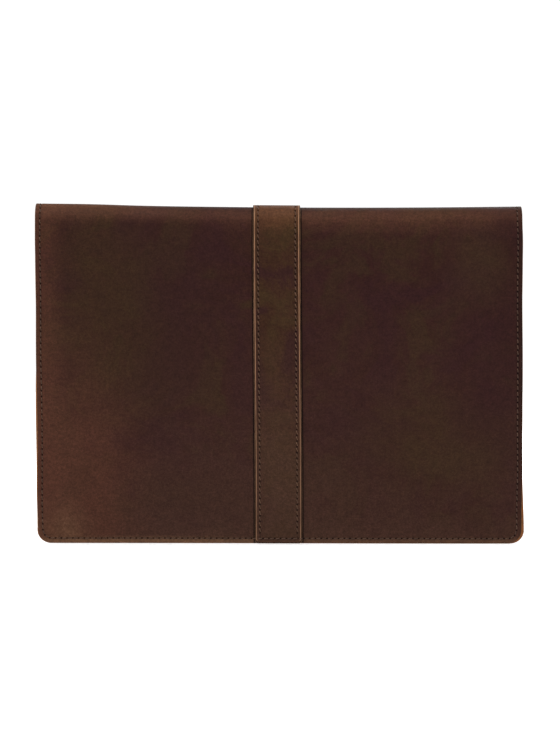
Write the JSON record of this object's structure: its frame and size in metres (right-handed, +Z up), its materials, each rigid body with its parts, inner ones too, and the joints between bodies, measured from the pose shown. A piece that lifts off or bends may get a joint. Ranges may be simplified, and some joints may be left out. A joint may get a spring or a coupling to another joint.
{
  "type": "laptop sleeve",
  "caption": "Dark brown oiled leather laptop sleeve with a fold-over flap, a sewn centre strap and a snap closure.",
  "frame": {"origin": "middle of the footprint of the upright sleeve, at its bottom edge", "axes": "+X along the width, +Y out of the back panel, +Z up from the bottom seam to the folded top edge; the flap is on the -Y side"},
  "size_m": [0.362, 0.0282, 0.2519],
  "materials": {
    "body_leather": "oiled, satin",
    "strap_leather": "oiled, satin",
    "thread": "waxed",
    "padding_foam": "matte",
    "lining_cloth": "matte, brushed",
    "snap_brass": "antique, satin"
  },
  "bodies": {
    "sleeve": {"back_panel": "body_leather", "front_panel": "body_leather", "back_padding": "padding_foam", "front_padding": "padding_foam", "back_lining": "lining_cloth", "front_lining": "lining_cloth", "strap_back": "strap_leather", "seam_thread": "thread", "mouth_thread": "thread", "strap_thread_back_a": "thread", "strap_thread_back_b": "thread", "snap_stud": "snap_brass", "snap_post": "snap_brass"},
    "fold_back": {"fold_back_leather": "body_leather", "fold_back_lining": "lining_cloth", "fold_back_strap": "strap_leather", "fold_back_edge_thread_a": "thread", "fold_back_edge_thread_b": "thread", "fold_back_strap_thread_a": "thread", "fold_back_strap_thread_b": "thread"},
    "fold_top": {"fold_top_leather": "body_leather", "fold_top_lining": "lining_cloth", "fold_top_strap": "strap_leather", "fold_top_edge_thread_a": "thread", "fold_top_edge_thread_b": "thread", "fold_top_strap_thread_a": "thread", "fold_top_strap_thread_b": "thread"},
    "fold_front": {"fold_front_leather": "body_leather", "fold_front_lining": "lining_cloth", "fold_front_strap": "strap_leather", "fold_front_edge_thread_a": "thread", "fold_front_edge_thread_b": "thread", "fold_front_strap_thread_a": "thread", "fold_front_strap_thread_b": "thread"},
    "flap": {"flap_leather": "body_leather", "flap_lining": "lining_cloth", "strap_front": "strap_leather", "flap_thread_a": "thread", "flap_thread_b": "thread", "strap_thread_front_a": "thread", "strap_thread_front_b": "thread"},
    "tongue": {"tongue_strap": "strap_leather", "tongue_thread": "thread", "snap_cap": "snap_brass", "snap_socket": "snap_brass"}
  },
  "joints": [
    {"name": "flap_crease_back", "type": "hinge", "parent": "sleeve", "child": "fold_back", "pos_m": [0, 0.01281, 0.24336], "axis": [-1, 0, 0], "range_deg": [0, 45]},
    {"name": "flap_crease_back_top", "type": "hinge", "parent": "fold_back", "child": "fold_top", "pos_m": [0, 0.00558, 0.25058], "axis": [-1, 0, 0], "range_deg": [0, 45]},
    {"name": "flap_crease_front_top", "type": "hinge", "parent": "fold_top", "child": "fold_front", "pos_m": [0, -0.00463, 0.25058], "axis": [-1, 0, 0], "range_deg": [0, 45]},
    {"name": "flap_crease_front", "type": "hinge", "parent": "fold_front", "child": "flap", "pos_m": [0, -0.01186, 0.24336], "axis": [-1, 0, 0], "range_deg": [0, 45]},
    {"name": "tongue_bend", "type": "hinge", "parent": "flap", "child": "tongue", "pos_m": [0.0015, -0.01287, 0.14], "axis": [-1, 0, 0], "range_deg": [0, 115]}
  ],
  "couplings": [
    {"joint": "flap_crease_back_top", "follows": "flap_crease_back", "ratio": 1},
    {"joint": "flap_crease_front_top", "follows": "flap_crease_back", "ratio": 1},
    {"joint": "flap_crease_front", "follows": "flap_crease_back", "ratio": 1}
  ]
}
